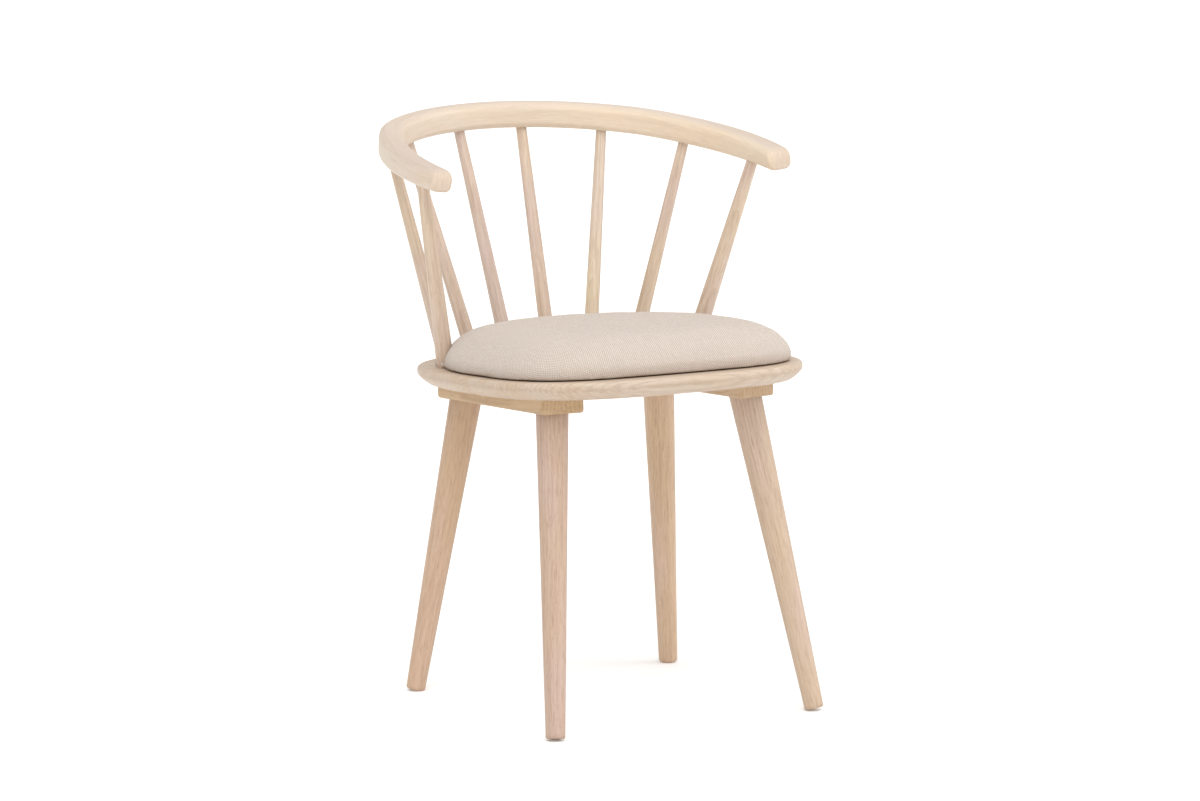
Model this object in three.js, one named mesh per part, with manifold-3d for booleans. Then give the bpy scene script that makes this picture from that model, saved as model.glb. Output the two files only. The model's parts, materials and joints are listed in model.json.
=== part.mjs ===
// Wooden armchair: a D-shaped solid seat on two bearers and four splayed legs, with eight
// fanned spindles that carry one bent back-and-arm rail, and a domed upholstered seat pad.
//
// Millimetres, +Z up. The chair faces -Y, so its own right hand side is at -X. The origin is on
// the floor, under the middle of the chair's width and depth.

import * as THREE from 'three';
import { mergeVertices } from 'three/addons/utils/BufferGeometryUtils.js';
import Module from 'manifold-3d';

const wasm = await Module();
wasm.setup();

// ---------------------------------------------------------------- driving dimensions

const GAP = 0.3; // clearance between pieces that touch
const SIDES = [['right', -1], ['left', 1]];
const UP = new THREE.Vector3(0, 0, 1);

// The seat frame: its origin is the top of the seat above the middle of the four feet, and its
// +Z is square to the seat, which leans back a little.
const SEAT_LEAN = THREE.MathUtils.degToRad(2.94);
const SEAT_ORIGIN = new THREE.Vector3(0, -74, 448.7);

// A D-shaped outline is two half superellipses that meet where it is widest.
const SEAT_SHAPE = { halfWidth: 232, widestAt: 8, front: 216, frontPower: 3, back: 253, backPower: 2.6 };
const SEAT_THICKNESS = 23.5;
const SEAT_TOP_ROUND = 5;
const SEAT_BEVEL_WIDTH = 16;
const SEAT_BEVEL_HEIGHT = 14.5;
const SEAT_BEVEL_SWELL = 2.2; // how far the middle of the bevel's face bulges

const PAD_SHAPE = { halfWidth: 216.4, widestAt: 23.7, front: 202.4, frontPower: 3.75, back: 185.7, backPower: 2 };
const PAD_HEIGHT = 53.3; // seat top to the pad's crown
const PAD_TUCK = 3; // how far the cover turns in at the bottom edge
const PAD_TUCK_HEIGHT = 13.5;
const PAD_SHOULDER_POWER = 10.1;
const PAD_CROWN_POWER = 1.2;
const BOARD_THICKNESS = 12;
const BOARD_INSET = 22; // pad outline to the board inside it

const BEARER_THICKNESS = 22;
const BEARER_WIDTH = 57.6;
const BEARER_FRONT_OUTER = -117.5; // front end, at the bearer's outer side
const BEARER_FRONT_INNER = -127; // front end, at the bearer's inner side
const BEARER_BACK = 168;
const BEARER_ROUND = 4;

const LEG_TOP_RADIUS = 21.2;
const LEG_FOOT_RADIUS = 12.6;
const LEG_FOOT_ROUND = 2.5;
// Top: centre of the joint with the bearer, in the seat frame. Foot: centre of the foot's end,
// measured from the middle of the four feet.
const LEGS = {
  front: { top: [145, -91], foot: [194.4, -188.6] },
  back: { top: [147, 137], foot: [195, 188.6] },
};

// Rail centre line, seen from above: tangent arcs from the middle of the back round to an arm end.
const RAIL_BACK_Y = 265.2;
const RAIL_ARCS = [
  { radius: 252.7, angle: THREE.MathUtils.degToRad(45.5) },
  { radius: 135.5, angle: THREE.MathUtils.degToRad(12.5) },
  { radius: 375, angle: Infinity },
];
const RAIL_HALF_LENGTH = 485;
const RAIL_HEIGHT = 712; // centre line above the origin
const RAIL_SLOPE = 0.121; // rise towards the back
const RAIL_HALF_WIDTH = 17;
const RAIL_HALF_HEIGHT = 17.4;
const RAIL_TIP_THINNING = 0.18; // share of the height lost at the arm ends
const RAIL_CORNERS = { top: 11, bottom: 9 };
const RAIL_END_ROUND = { top: 14, bottom: 4, inner: 9, outer: 7 };
// The section tips outwards at the middle of the back and inwards along the arms, where the
// change is complete at this share of the half length.
const RAIL_LEAN = { back: THREE.MathUtils.degToRad(6), arm: THREE.MathUtils.degToRad(-8) };
const RAIL_LEAN_SHARE = 0.8;

// Spindles, right-hand half: where the axis crosses the seat's top face (seat frame), and where it
// meets the rail's mid-plane, as x and y from the origin.
const SPINDLES = {
  back: { seat: [31.4, 227.8], rail: [48.8, 265.6], radius: [10, 6.9] },
  outer: { seat: [89.5, 218.4], rail: [151.8, 220.9], radius: [10, 6.9] },
  side: { seat: [144.6, 193.8], rail: [226.3, 120.9], radius: [10, 6.7] },
  arm: { seat: [188.2, 113.3], rail: [252.4, -15.1], radius: [12, 7.4] },
};
const SPINDLE_SEAT_DEPTH = 18;
const SPINDLE_END_CHAMFER = 1.5;

const BOLT_RADIUS = 4;
const BOLT_IN_LEG = 40;
const BOLT_IN_BEARER = 15;
const INSERT_RADIUS = 6.5;
const INSERT_START = 2.5;
const INSERT_LENGTH = 13.5;

const BEARER_SCREW = { head: 4.4, shank: 2.2, length: 36 };
const BEARER_SCREW_X = 145;
const BEARER_SCREW_PLACES = [-45, 22, 90];
const PAD_SCREW = { head: 4.6, shank: 2.2, length: 29 };
const PAD_SCREW_RECESS = 5;
const PAD_SCREW_PLACES = { front: [85, -95], back: [85, 115] };

// ---------------------------------------------------------------- materials

const WOOD = { roughness: 0.62, metalness: 0 };
const STEEL = { color: 0xb9bab8, roughness: 0.35, metalness: 1 };
const MATERIALS = {
  rail: { color: 0xe9dac6, ...WOOD },
  spindle: { color: 0xdccab5, ...WOOD },
  seat: { color: 0xdccbb5, ...WOOD },
  leg: { color: 0xd3b79c, ...WOOD },
  bearer: { color: 0xc9ab82, ...WOOD },
  fabric: { color: 0xddd2c7, roughness: 0.95, metalness: 0 },
  board: { color: 0xc8a878, roughness: 0.8, metalness: 0 },
  steel: STEEL,
};

// ---------------------------------------------------------------- solids

function toSolid(geometry) {
  const bare = geometry.clone();
  bare.deleteAttribute('normal');
  bare.deleteAttribute('uv');
  const merged = mergeVertices(bare, 1e-4);
  const vertProperties = new Float32Array(merged.attributes.position.array);
  const triVerts = new Uint32Array(merged.index.array);
  return new wasm.Manifold(new wasm.Mesh({ numProp: 3, vertProperties, triVerts }));
}

function toGeometry(solid) {
  const mesh = solid.getMesh();
  const geometry = new THREE.BufferGeometry();
  geometry.setAttribute('position', new THREE.BufferAttribute(new Float32Array(mesh.vertProperties), 3));
  geometry.setIndex(new THREE.BufferAttribute(new Uint32Array(mesh.triVerts), 1));
  return geometry;
}

function subtractAll(solid, cutters) {
  return cutters.reduce((rest, cutter) => rest.subtract(cutter), solid);
}

// A closed skin through rings of equal length. Each ring runs anticlockwise as seen from the last
// ring. The ends are closed by fans about a middle point.
function loft(rings, firstMiddle = middleOf(rings[0]), lastMiddle = middleOf(rings.at(-1))) {
  const count = rings[0].length;
  const positions = [...rings.flat(), firstMiddle, lastMiddle].flatMap((point) => point.toArray());
  const firstHub = rings.length * count;
  const lastHub = firstHub + 1;
  const lastRing = (rings.length - 1) * count;
  const index = [];
  for (let i = 0; i < count; i += 1) {
    const next = (i + 1) % count;
    for (let ring = 0; ring < lastRing; ring += count) {
      index.push(ring + i, ring + next, ring + count + next);
      index.push(ring + i, ring + count + next, ring + count + i);
    }
    index.push(firstHub, next, i);
    index.push(lastHub, lastRing + i, lastRing + next);
  }
  const geometry = new THREE.BufferGeometry();
  geometry.setAttribute('position', new THREE.Float32BufferAttribute(positions, 3));
  geometry.setIndex(index);
  return geometry;
}

function middleOf(ring) {
  const sum = ring.reduce((total, point) => total.add(point), new THREE.Vector3());
  return sum.divideScalar(ring.length);
}

// A turned piece whose profile is a list of [radius, height] pairs, from bottom to top.
function turned(profile, sides) {
  const points = profile.map(([radius, height]) => new THREE.Vector2(radius, height));
  return new THREE.LatheGeometry(points, sides).rotateX(Math.PI / 2);
}

// Moves geometry made about +Z to stand at a point with its axis along a direction.
function placeAlong(geometry, point, direction) {
  const turn = new THREE.Quaternion().setFromUnitVectors(UP, direction);
  return geometry.applyQuaternion(turn).translate(point.x, point.y, point.z);
}

// ---------------------------------------------------------------- the seat frame

const seatMatrix = new THREE.Matrix4().makeRotationX(-SEAT_LEAN).setPosition(SEAT_ORIGIN);

function seatPoint(x, y, z = 0) {
  return new THREE.Vector3(x, y, z).applyMatrix4(seatMatrix);
}

// One point of a D-shaped outline, moved inwards by inset, or scaled about the widest line.
function outlinePoint(shape, angle, inset = 0, scale = 1) {
  const across = Math.cos(angle);
  const along = Math.sin(angle);
  const depth = along < 0 ? shape.front : shape.back;
  const power = along < 0 ? shape.frontPower : shape.backPower;
  const sum = Math.abs(across / shape.halfWidth) ** power + Math.abs(along / depth) ** power;
  const reach = scale / sum ** (1 / power);
  const normal = new THREE.Vector2(
    (Math.sign(across) * Math.abs(across / shape.halfWidth) ** (power - 1)) / shape.halfWidth,
    (Math.sign(along) * Math.abs(along / depth) ** (power - 1)) / depth,
  ).normalize();
  return new THREE.Vector2(across * reach - normal.x * inset, shape.widestAt + along * reach - normal.y * inset);
}

function outlineRing(shape, count, height, inset = 0, scale = 1) {
  const ring = [];
  for (let i = 0; i < count; i += 1) {
    const point = outlinePoint(shape, (2 * Math.PI * i) / count, inset, scale);
    ring.push(new THREE.Vector3(point.x, point.y, height));
  }
  return ring;
}

// ---------------------------------------------------------------- the rail

// Point and heading of the rail's centre line at a distance from the middle of the back, seen from
// above; negative distances run round the right-hand side.
function railPlan(distance) {
  let left = Math.abs(distance);
  let heading = 0;
  const point = new THREE.Vector2(0, RAIL_BACK_Y);
  for (const { radius, angle } of RAIL_ARCS) {
    const turn = Math.min(left / radius, angle);
    point.x += radius * (Math.sin(heading + turn) - Math.sin(heading));
    point.y += radius * (Math.cos(heading + turn) - Math.cos(heading));
    heading += turn;
    left -= turn * radius;
    if (left <= 0) break;
  }
  const side = distance < 0 ? -1 : 1;
  return { point: new THREE.Vector2(point.x * side, point.y), heading: heading * side };
}

function railPoint(x, y) {
  return new THREE.Vector3(x, y, RAIL_HEIGHT + RAIL_SLOPE * y);
}

const railNormal = new THREE.Vector3(0, -RAIL_SLOPE, 1).normalize();

// How much a rounded edge of the given radius has drawn in at a distance from the end face.
function roundedIn(radius, fromEnd) {
  const rest = Math.max(radius - fromEnd, 0);
  return radius - Math.sqrt(radius * radius - rest * rest);
}

// The rail's section at a distance along it: a rounded square that thins and rounds off at the
// two arm ends. Each corner has the given number of facets.
function railRing(distance, facets) {
  const { point, heading } = railPlan(distance);
  const tangent = new THREE.Vector3(Math.cos(heading), -Math.sin(heading), -RAIL_SLOPE * Math.sin(heading));
  tangent.normalize();
  const change = Math.min(1, Math.abs(distance) / (RAIL_LEAN_SHARE * RAIL_HALF_LENGTH)) ** 2;
  const lean = THREE.MathUtils.lerp(RAIL_LEAN.back, RAIL_LEAN.arm, change);
  const upward = railNormal.clone().applyAxisAngle(tangent, -lean);
  const outward = upward.clone().cross(tangent);
  const fromEnd = RAIL_HALF_LENGTH - Math.abs(distance);
  const halfHeight = RAIL_HALF_HEIGHT * (1 - RAIL_TIP_THINNING * (distance / RAIL_HALF_LENGTH) ** 4);
  const outer = RAIL_HALF_WIDTH - roundedIn(RAIL_END_ROUND.outer, fromEnd);
  const inner = RAIL_HALF_WIDTH - roundedIn(RAIL_END_ROUND.inner, fromEnd);
  const top = halfHeight - roundedIn(RAIL_END_ROUND.top, fromEnd);
  const bottom = halfHeight - roundedIn(RAIL_END_ROUND.bottom, fromEnd);
  const flatShare = 0.1; // least share of a side that stays flat between its corners
  const widthRoom = ((1 - flatShare) * (outer + inner)) / (2 * RAIL_CORNERS.top);
  const heightRoom = ((1 - flatShare) * (top + bottom)) / (RAIL_CORNERS.top + RAIL_CORNERS.bottom);
  const fit = Math.min(1, widthRoom, heightRoom);
  const high = RAIL_CORNERS.top * fit;
  const low = RAIL_CORNERS.bottom * fit;
  const corners = [
    [outer - high, top - high, high],
    [high - inner, top - high, high],
    [low - inner, low - bottom, low],
    [outer - low, low - bottom, low],
  ];
  return corners.flatMap(([across, above, radius], quarter) =>
    Array.from({ length: facets + 1 }, (_, i) => {
      const angle = (Math.PI / 2) * (quarter + i / facets);
      const place = railPoint(point.x, point.y);
      place.addScaledVector(outward, across + radius * Math.cos(angle));
      return place.addScaledVector(upward, above + radius * Math.sin(angle));
    }),
  );
}

function railSolid() {
  const steps = 36;
  const fromEnds = [0, 0.8, 3, 7.5, 14];
  const plain = RAIL_HALF_LENGTH - fromEnds.at(-1);
  const distances = fromEnds.slice(0, -1).map((fromEnd) => fromEnd - RAIL_HALF_LENGTH);
  for (let i = 0; i <= steps; i += 1) {
    distances.push(plain * ((2 * i) / steps - 1));
  }
  distances.push(...fromEnds.slice(0, -1).reverse().map((fromEnd) => RAIL_HALF_LENGTH - fromEnd));
  return toSolid(loft(distances.map((distance) => railRing(distance, 3))));
}

// ---------------------------------------------------------------- spindles

function spindleAxis(spindle, side) {
  const atSeat = seatPoint(side * spindle.seat[0], spindle.seat[1]);
  const atRail = railPoint(side * spindle.rail[0], spindle.rail[1]);
  const direction = atRail.clone().sub(atSeat);
  const length = direction.length();
  return { atSeat, direction: direction.normalize(), length };
}

// The spindle from the bottom of its socket in the seat to the rail's mid-plane. With a clearance
// it is the tool that drills both sockets.
function spindleGeometry(spindle, side, clearance = 0) {
  const { atSeat, direction, length } = spindleAxis(spindle, side);
  const [seatRadius, railRadius] = spindle.radius;
  const slope = (railRadius - seatRadius) / length;
  const bottom = -SPINDLE_SEAT_DEPTH - clearance;
  const top = length + clearance;
  const radiusAt = (height) => seatRadius + slope * height + clearance;
  const profile = [[0, bottom], [radiusAt(bottom) - SPINDLE_END_CHAMFER, bottom]];
  profile.push([radiusAt(bottom), bottom + SPINDLE_END_CHAMFER]);
  profile.push([radiusAt(top), top - SPINDLE_END_CHAMFER]);
  profile.push([radiusAt(top) - SPINDLE_END_CHAMFER, top], [0, top]);
  return placeAlong(turned(profile, 16), atSeat, direction);
}

function allSpindles(build) {
  return SIDES.flatMap(([, side]) => Object.values(SPINDLES).map((spindle) => build(spindle, side)));
}

// ---------------------------------------------------------------- legs

// The leg's axis runs up from the foot's lowest rounded edge on the floor to the bearer.
function legAxis(leg, side) {
  const top = seatPoint(side * leg.top[0], leg.top[1], -SEAT_THICKNESS - BEARER_THICKNESS);
  const foot = new THREE.Vector3(side * leg.foot[0], leg.foot[1] + SEAT_ORIGIN.y, 0);
  const lean = top.clone().sub(foot).angleTo(UP);
  const edge = LEG_FOOT_RADIUS - LEG_FOOT_ROUND;
  foot.z = edge * Math.sin(lean) + LEG_FOOT_ROUND * (1 - Math.cos(lean));
  const direction = top.clone().sub(foot);
  const length = direction.length();
  return { foot, top, direction: direction.normalize(), length };
}

function legGeometry(leg, side) {
  const { foot, top, direction, length } = legAxis(leg, side);
  const overrun = 15;
  const slope = (LEG_TOP_RADIUS - LEG_FOOT_RADIUS) / length;
  const profile = [[0, 0]];
  for (let i = 0; i <= 3; i += 1) {
    const angle = (Math.PI / 2) * (i / 3);
    const radius = LEG_FOOT_RADIUS - LEG_FOOT_ROUND * (1 - Math.sin(angle));
    profile.push([radius, LEG_FOOT_ROUND * (1 - Math.cos(angle))]);
  }
  profile.push([LEG_TOP_RADIUS + slope * overrun, length + overrun], [0, length + overrun]);
  const blank = toSolid(placeAlong(turned(profile, 20), foot, direction));
  const saw = new THREE.BoxGeometry(120, 120, 60).translate(leg.top[0] * side, leg.top[1], 30);
  saw.translate(0, 0, -SEAT_THICKNESS - BEARER_THICKNESS - GAP).applyMatrix4(seatMatrix);
  const bore = new THREE.CylinderGeometry(BOLT_RADIUS + GAP, BOLT_RADIUS + GAP, 2 * BOLT_IN_LEG + 2 * GAP, 16);
  placeAlong(bore.rotateX(Math.PI / 2), top, direction);
  return toGeometry(subtractAll(blank, [toSolid(saw), toSolid(bore)]));
}

function boltGeometry(leg, side) {
  const { top, direction } = legAxis(leg, side);
  const chamfer = 1;
  const profile = [
    [0, -BOLT_IN_LEG],
    [BOLT_RADIUS - chamfer, -BOLT_IN_LEG],
    [BOLT_RADIUS, -BOLT_IN_LEG + chamfer],
    [BOLT_RADIUS, BOLT_IN_BEARER - chamfer],
    [BOLT_RADIUS - chamfer, BOLT_IN_BEARER],
    [0, BOLT_IN_BEARER],
  ];
  return placeAlong(turned(profile, 16), top, direction);
}

function insertGeometry(leg, side) {
  const { top, direction } = legAxis(leg, side);
  const end = INSERT_START + INSERT_LENGTH;
  const bore = BOLT_RADIUS + GAP;
  const profile = [[bore, INSERT_START], [INSERT_RADIUS, INSERT_START], [INSERT_RADIUS, end], [bore, end]];
  return placeAlong(turned([...profile, profile[0]], 16), top, direction);
}

function insertHole(leg, side) {
  const { top, direction } = legAxis(leg, side);
  const depth = INSERT_START + INSERT_LENGTH + GAP;
  const radius = INSERT_RADIUS + GAP;
  const hole = new THREE.CylinderGeometry(radius, radius, 2 * depth, 16).rotateX(Math.PI / 2);
  return toSolid(placeAlong(hole, top, direction));
}

// ---------------------------------------------------------------- screws

// A countersunk wood screw pointing along +Z, with its head's face at the given height.
function screwProfile(screw, face, clearance = 0) {
  const taper = screw.head - screw.shank;
  const head = screw.head + clearance;
  const shank = screw.shank + clearance;
  const tip = face + screw.length + clearance;
  return [
    [0, face - clearance],
    [head, face - clearance],
    [head, face + 0.6],
    [shank, face + 0.6 + taper],
    [shank, tip - 4],
    [0.5, tip],
    [0, tip],
  ];
}

function bearerScrewGeometry(side, place, clearance = 0) {
  const face = -SEAT_THICKNESS - BEARER_THICKNESS + 0.5;
  const screw = turned(screwProfile(BEARER_SCREW, face, clearance), 12);
  return screw.translate(side * BEARER_SCREW_X, place, 0).applyMatrix4(seatMatrix);
}

function padScrewGeometry(side, place, clearance = 0) {
  const face = -SEAT_THICKNESS + PAD_SCREW_RECESS;
  const screw = turned(screwProfile(PAD_SCREW, face, clearance), 12);
  return screw.translate(side * place[0], place[1], 0).applyMatrix4(seatMatrix);
}

function padScrewRecess(side, place) {
  const radius = PAD_SCREW.head + 1;
  const recess = new THREE.CylinderGeometry(radius, radius, 2 * PAD_SCREW_RECESS, 16).rotateX(Math.PI / 2);
  recess.translate(side * place[0], place[1], -SEAT_THICKNESS).applyMatrix4(seatMatrix);
  return toSolid(recess);
}

const bearerScrewHoles = SIDES.flatMap(([, side]) =>
  BEARER_SCREW_PLACES.map((place) => toSolid(bearerScrewGeometry(side, place, GAP))),
);
const padScrewHoles = SIDES.flatMap(([, side]) =>
  Object.values(PAD_SCREW_PLACES).map((place) => toSolid(padScrewGeometry(side, place, GAP))),
);

// ---------------------------------------------------------------- seat and bearers

// How far in from the seat's edge its slightly convex bevel lies, at a share of the bevel's height.
function bevelInset(share) {
  return SEAT_BEVEL_WIDTH * (1 - share) - SEAT_BEVEL_SWELL * 4 * share * (1 - share);
}

function seatPlateGeometry() {
  const count = 64;
  const rings = [0, 1 / 3, 2 / 3, 1].map((share) =>
    outlineRing(SEAT_SHAPE, count, -SEAT_THICKNESS + SEAT_BEVEL_HEIGHT * share, bevelInset(share)),
  );
  for (let i = 0; i <= 3; i += 1) {
    const angle = (Math.PI / 2) * (i / 3);
    const inset = SEAT_TOP_ROUND * (1 - Math.cos(angle));
    rings.push(outlineRing(SEAT_SHAPE, count, SEAT_TOP_ROUND * (Math.sin(angle) - 1), inset));
  }
  const blank = toSolid(loft(rings).applyMatrix4(seatMatrix));
  const sockets = allSpindles((spindle, side) => toSolid(spindleGeometry(spindle, side, GAP)));
  const recesses = SIDES.flatMap(([, side]) =>
    Object.values(PAD_SCREW_PLACES).map((place) => padScrewRecess(side, place)),
  );
  return toGeometry(subtractAll(blank, [...sockets, ...bearerScrewHoles, ...padScrewHoles, ...recesses]));
}

// A flat bearer with rounded lower edges. Its front end follows the curve of the seat's front.
function bearerGeometry(side) {
  const inner = LEGS.front.top[0] - BEARER_WIDTH / 2;
  const outer = inner + BEARER_WIDTH;
  const outline = new THREE.Shape();
  outline.moveTo(inner, BEARER_FRONT_INNER);
  outline.lineTo(outer, BEARER_FRONT_OUTER);
  outline.lineTo(outer, BEARER_BACK);
  outline.lineTo(inner, BEARER_BACK);
  outline.closePath();
  const block = new THREE.ExtrudeGeometry(outline, {
    depth: BEARER_THICKNESS,
    bevelThickness: BEARER_ROUND,
    bevelSize: BEARER_ROUND,
    bevelOffset: -BEARER_ROUND,
    bevelSegments: 3,
  });
  block.translate(0, 0, -SEAT_THICKNESS - BEARER_THICKNESS + BEARER_ROUND);
  const topCut = new THREE.BoxGeometry(2 * outer, 4 * BEARER_BACK, 2 * BEARER_THICKNESS);
  topCut.translate(0, 0, BEARER_THICKNESS - SEAT_THICKNESS - GAP);
  const blank = toSolid(block.applyMatrix4(seatMatrix)).subtract(toSolid(topCut.applyMatrix4(seatMatrix)));
  const mirrored = side < 0 ? blank.mirror([1, 0, 0]) : blank;
  const holes = Object.values(LEGS).map((leg) => insertHole(leg, side));
  return toGeometry(subtractAll(mirrored, [...holes, ...bearerScrewHoles]));
}

// ---------------------------------------------------------------- pad

function boardSolid(clearance = 0) {
  const count = 48;
  const inset = BOARD_INSET - clearance;
  const rings = [
    outlineRing(PAD_SHAPE, count, GAP - clearance, inset),
    outlineRing(PAD_SHAPE, count, BOARD_THICKNESS + clearance, inset),
  ];
  return toSolid(loft(rings).applyMatrix4(seatMatrix));
}

// The covered foam: a tucked-in lower edge, full sides and a domed top.
function padSolid() {
  const count = 48;
  const rings = [];
  for (let i = 0; i <= 3; i += 1) {
    const angle = (Math.PI / 2) * (i / 3);
    const height = GAP + PAD_TUCK_HEIGHT * (1 - Math.cos(angle));
    rings.push(outlineRing(PAD_SHAPE, count, height, PAD_TUCK * (1 - Math.sin(angle))));
  }
  const base = GAP + PAD_TUCK_HEIGHT;
  for (const scale of [0.985, 0.95, 0.89, 0.8, 0.64, 0.4]) {
    const rise = (1 - scale ** PAD_SHOULDER_POWER) ** (1 / PAD_CROWN_POWER);
    rings.push(outlineRing(PAD_SHAPE, count, base + (PAD_HEIGHT - base) * rise, 0, scale));
  }
  const bottom = new THREE.Vector3(0, PAD_SHAPE.widestAt, GAP);
  const crown = new THREE.Vector3(0, PAD_SHAPE.widestAt, PAD_HEIGHT);
  return toSolid(loft(rings, bottom, crown).applyMatrix4(seatMatrix));
}

function padGeometry() {
  const dents = allSpindles((spindle, side) => toSolid(spindleGeometry(spindle, side, 2 * GAP)));
  return toGeometry(subtractAll(padSolid(), [boardSolid(GAP), ...dents]));
}

// ---------------------------------------------------------------- assembly

const chair = new THREE.Group();

function add(name, geometry, material) {
  const mesh = new THREE.Mesh(geometry, new THREE.MeshStandardMaterial(MATERIALS[material]));
  mesh.name = name;
  chair.add(mesh);
}

const railSockets = allSpindles((spindle, side) => toSolid(spindleGeometry(spindle, side, GAP)));
add('bow_rail', toGeometry(subtractAll(railSolid(), railSockets)), 'rail');
add('seat_plate', seatPlateGeometry(), 'seat');
add('seat_cushion', padGeometry(), 'fabric');
add('cushion_base_board', toGeometry(subtractAll(boardSolid(), padScrewHoles)), 'board');

for (const [hand, side] of SIDES) {
  for (const [place, spindle] of Object.entries(SPINDLES)) {
    add(`spindle_${place}_${hand}`, spindleGeometry(spindle, side), 'spindle');
  }
  add(`leg_cleat_${hand}`, bearerGeometry(side), 'bearer');
  for (const [place, leg] of Object.entries(LEGS)) {
    add(`leg_${place}_${hand}`, legGeometry(leg, side), 'leg');
    add(`leg_bolt_${place}_${hand}`, boltGeometry(leg, side), 'steel');
    add(`leg_insert_${place}_${hand}`, insertGeometry(leg, side), 'steel');
  }
  BEARER_SCREW_PLACES.forEach((place, i) => {
    add(`cleat_screw_${hand}_${i + 1}`, bearerScrewGeometry(side, place), 'steel');
  });
  for (const [place, spot] of Object.entries(PAD_SCREW_PLACES)) {
    add(`cushion_screw_${place}_${hand}`, padScrewGeometry(side, spot), 'steel');
  }
}

export default chair;
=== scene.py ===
"""Looks of the wooden armchair: fine wood pieces and an upholstered seat pad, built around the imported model.

Metres, +Z up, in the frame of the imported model. The chair faces -Y, so its own right hand side is at -X.
"""

import json
import math

import bpy
import numpy as np
from mathutils import Matrix, Vector


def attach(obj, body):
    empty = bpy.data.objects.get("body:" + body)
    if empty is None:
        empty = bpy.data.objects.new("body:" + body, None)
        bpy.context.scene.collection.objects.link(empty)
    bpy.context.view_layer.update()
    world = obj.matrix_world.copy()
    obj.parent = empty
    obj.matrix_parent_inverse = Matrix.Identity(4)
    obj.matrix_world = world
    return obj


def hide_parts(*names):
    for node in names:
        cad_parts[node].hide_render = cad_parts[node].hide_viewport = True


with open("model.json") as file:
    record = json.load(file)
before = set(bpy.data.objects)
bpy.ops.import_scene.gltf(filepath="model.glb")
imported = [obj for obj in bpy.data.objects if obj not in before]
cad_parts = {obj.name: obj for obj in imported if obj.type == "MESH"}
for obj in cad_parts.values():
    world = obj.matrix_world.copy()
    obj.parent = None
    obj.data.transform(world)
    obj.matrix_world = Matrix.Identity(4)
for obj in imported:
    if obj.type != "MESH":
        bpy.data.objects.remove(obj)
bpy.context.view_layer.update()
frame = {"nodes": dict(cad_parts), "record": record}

# ---------------------------------------------------------------- driving dimensions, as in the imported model

MM = 0.001
GAP = 0.3 * MM
SIDES = (("right", -1), ("left", 1))

SEAT_LEAN = math.radians(2.94)
SEAT_ORIGIN = Vector((0, -74 * MM, 448.7 * MM))
SEAT_SHAPE = dict(half_width=232 * MM, widest_at=8 * MM, front=216 * MM, front_power=3,
                  back=253 * MM, back_power=2.6)
SEAT_THICKNESS = 23.5 * MM
SEAT_TOP_ROUND = 5 * MM
SEAT_BEVEL_WIDTH = 16 * MM
SEAT_BEVEL_HEIGHT = 14.5 * MM
SEAT_BEVEL_SWELL = 2.2 * MM

PAD_SHAPE = dict(half_width=216.4 * MM, widest_at=23.7 * MM, front=202.4 * MM, front_power=3.75,
                 back=185.7 * MM, back_power=2)
PAD_HEIGHT = 53.3 * MM
PAD_TUCK = 3 * MM
PAD_TUCK_HEIGHT = 13.5 * MM
PAD_SHOULDER_POWER = 10.1
PAD_CROWN_POWER = 1.2

CLEAT_THICKNESS = 22 * MM
CLEAT_WIDTH = 57.6 * MM
CLEAT_MIDDLE = 145 * MM
CLEAT_FRONT_OUTER = -117.5 * MM
CLEAT_FRONT_INNER = -127 * MM
CLEAT_BACK = 168 * MM
CLEAT_ROUND = 4 * MM

LEG_TOP_RADIUS = 21.2 * MM
LEG_FOOT_RADIUS = 12.6 * MM
LEG_FOOT_ROUND = 2.5 * MM
LEGS = {
    "front": dict(top=(145 * MM, -91 * MM), foot=(194.4 * MM, -188.6 * MM)),
    "back": dict(top=(147 * MM, 137 * MM), foot=(195 * MM, 188.6 * MM)),
}

RAIL_BACK_Y = 265.2 * MM
RAIL_ARCS = ((252.7 * MM, math.radians(45.5)), (135.5 * MM, math.radians(12.5)), (375 * MM, math.inf))
RAIL_HALF_LENGTH = 485 * MM
RAIL_HEIGHT = 712 * MM
RAIL_SLOPE = 0.121
RAIL_HALF_WIDTH = 17 * MM
RAIL_HALF_HEIGHT = 17.4 * MM
RAIL_TIP_THINNING = 0.18
RAIL_CORNERS = dict(top=11 * MM, bottom=9 * MM)
RAIL_END_ROUND = dict(top=14 * MM, bottom=4 * MM, inner=9 * MM, outer=7 * MM)
RAIL_LEAN_BACK = math.radians(6)
RAIL_LEAN_ARM = math.radians(-8)
RAIL_LEAN_SHARE = 0.8

SPINDLES = {
    "back": dict(seat=(31.4 * MM, 227.8 * MM), rail=(48.8 * MM, 265.6 * MM), radius=(10 * MM, 6.9 * MM)),
    "outer": dict(seat=(89.5 * MM, 218.4 * MM), rail=(151.8 * MM, 220.9 * MM), radius=(10 * MM, 6.9 * MM)),
    "side": dict(seat=(144.6 * MM, 193.8 * MM), rail=(226.3 * MM, 120.9 * MM), radius=(10 * MM, 6.7 * MM)),
    "arm": dict(seat=(188.2 * MM, 113.3 * MM), rail=(252.4 * MM, -15.1 * MM), radius=(12 * MM, 7.4 * MM)),
}
SPINDLE_SEAT_DEPTH = 18 * MM

SCREWS = {
    "cleat": dict(head=4.4 * MM, shank=2.2 * MM, length=36 * MM, recess=0.5 * MM,
                  places=(-45 * MM, 22 * MM, 90 * MM)),
    "cushion": dict(head=4.6 * MM, shank=2.2 * MM, length=29 * MM, recess=5 * MM,
                    places={"front": (85 * MM, -95 * MM), "back": (85 * MM, 115 * MM)}),
}

# ---------------------------------------------------------------- camera and light

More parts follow.
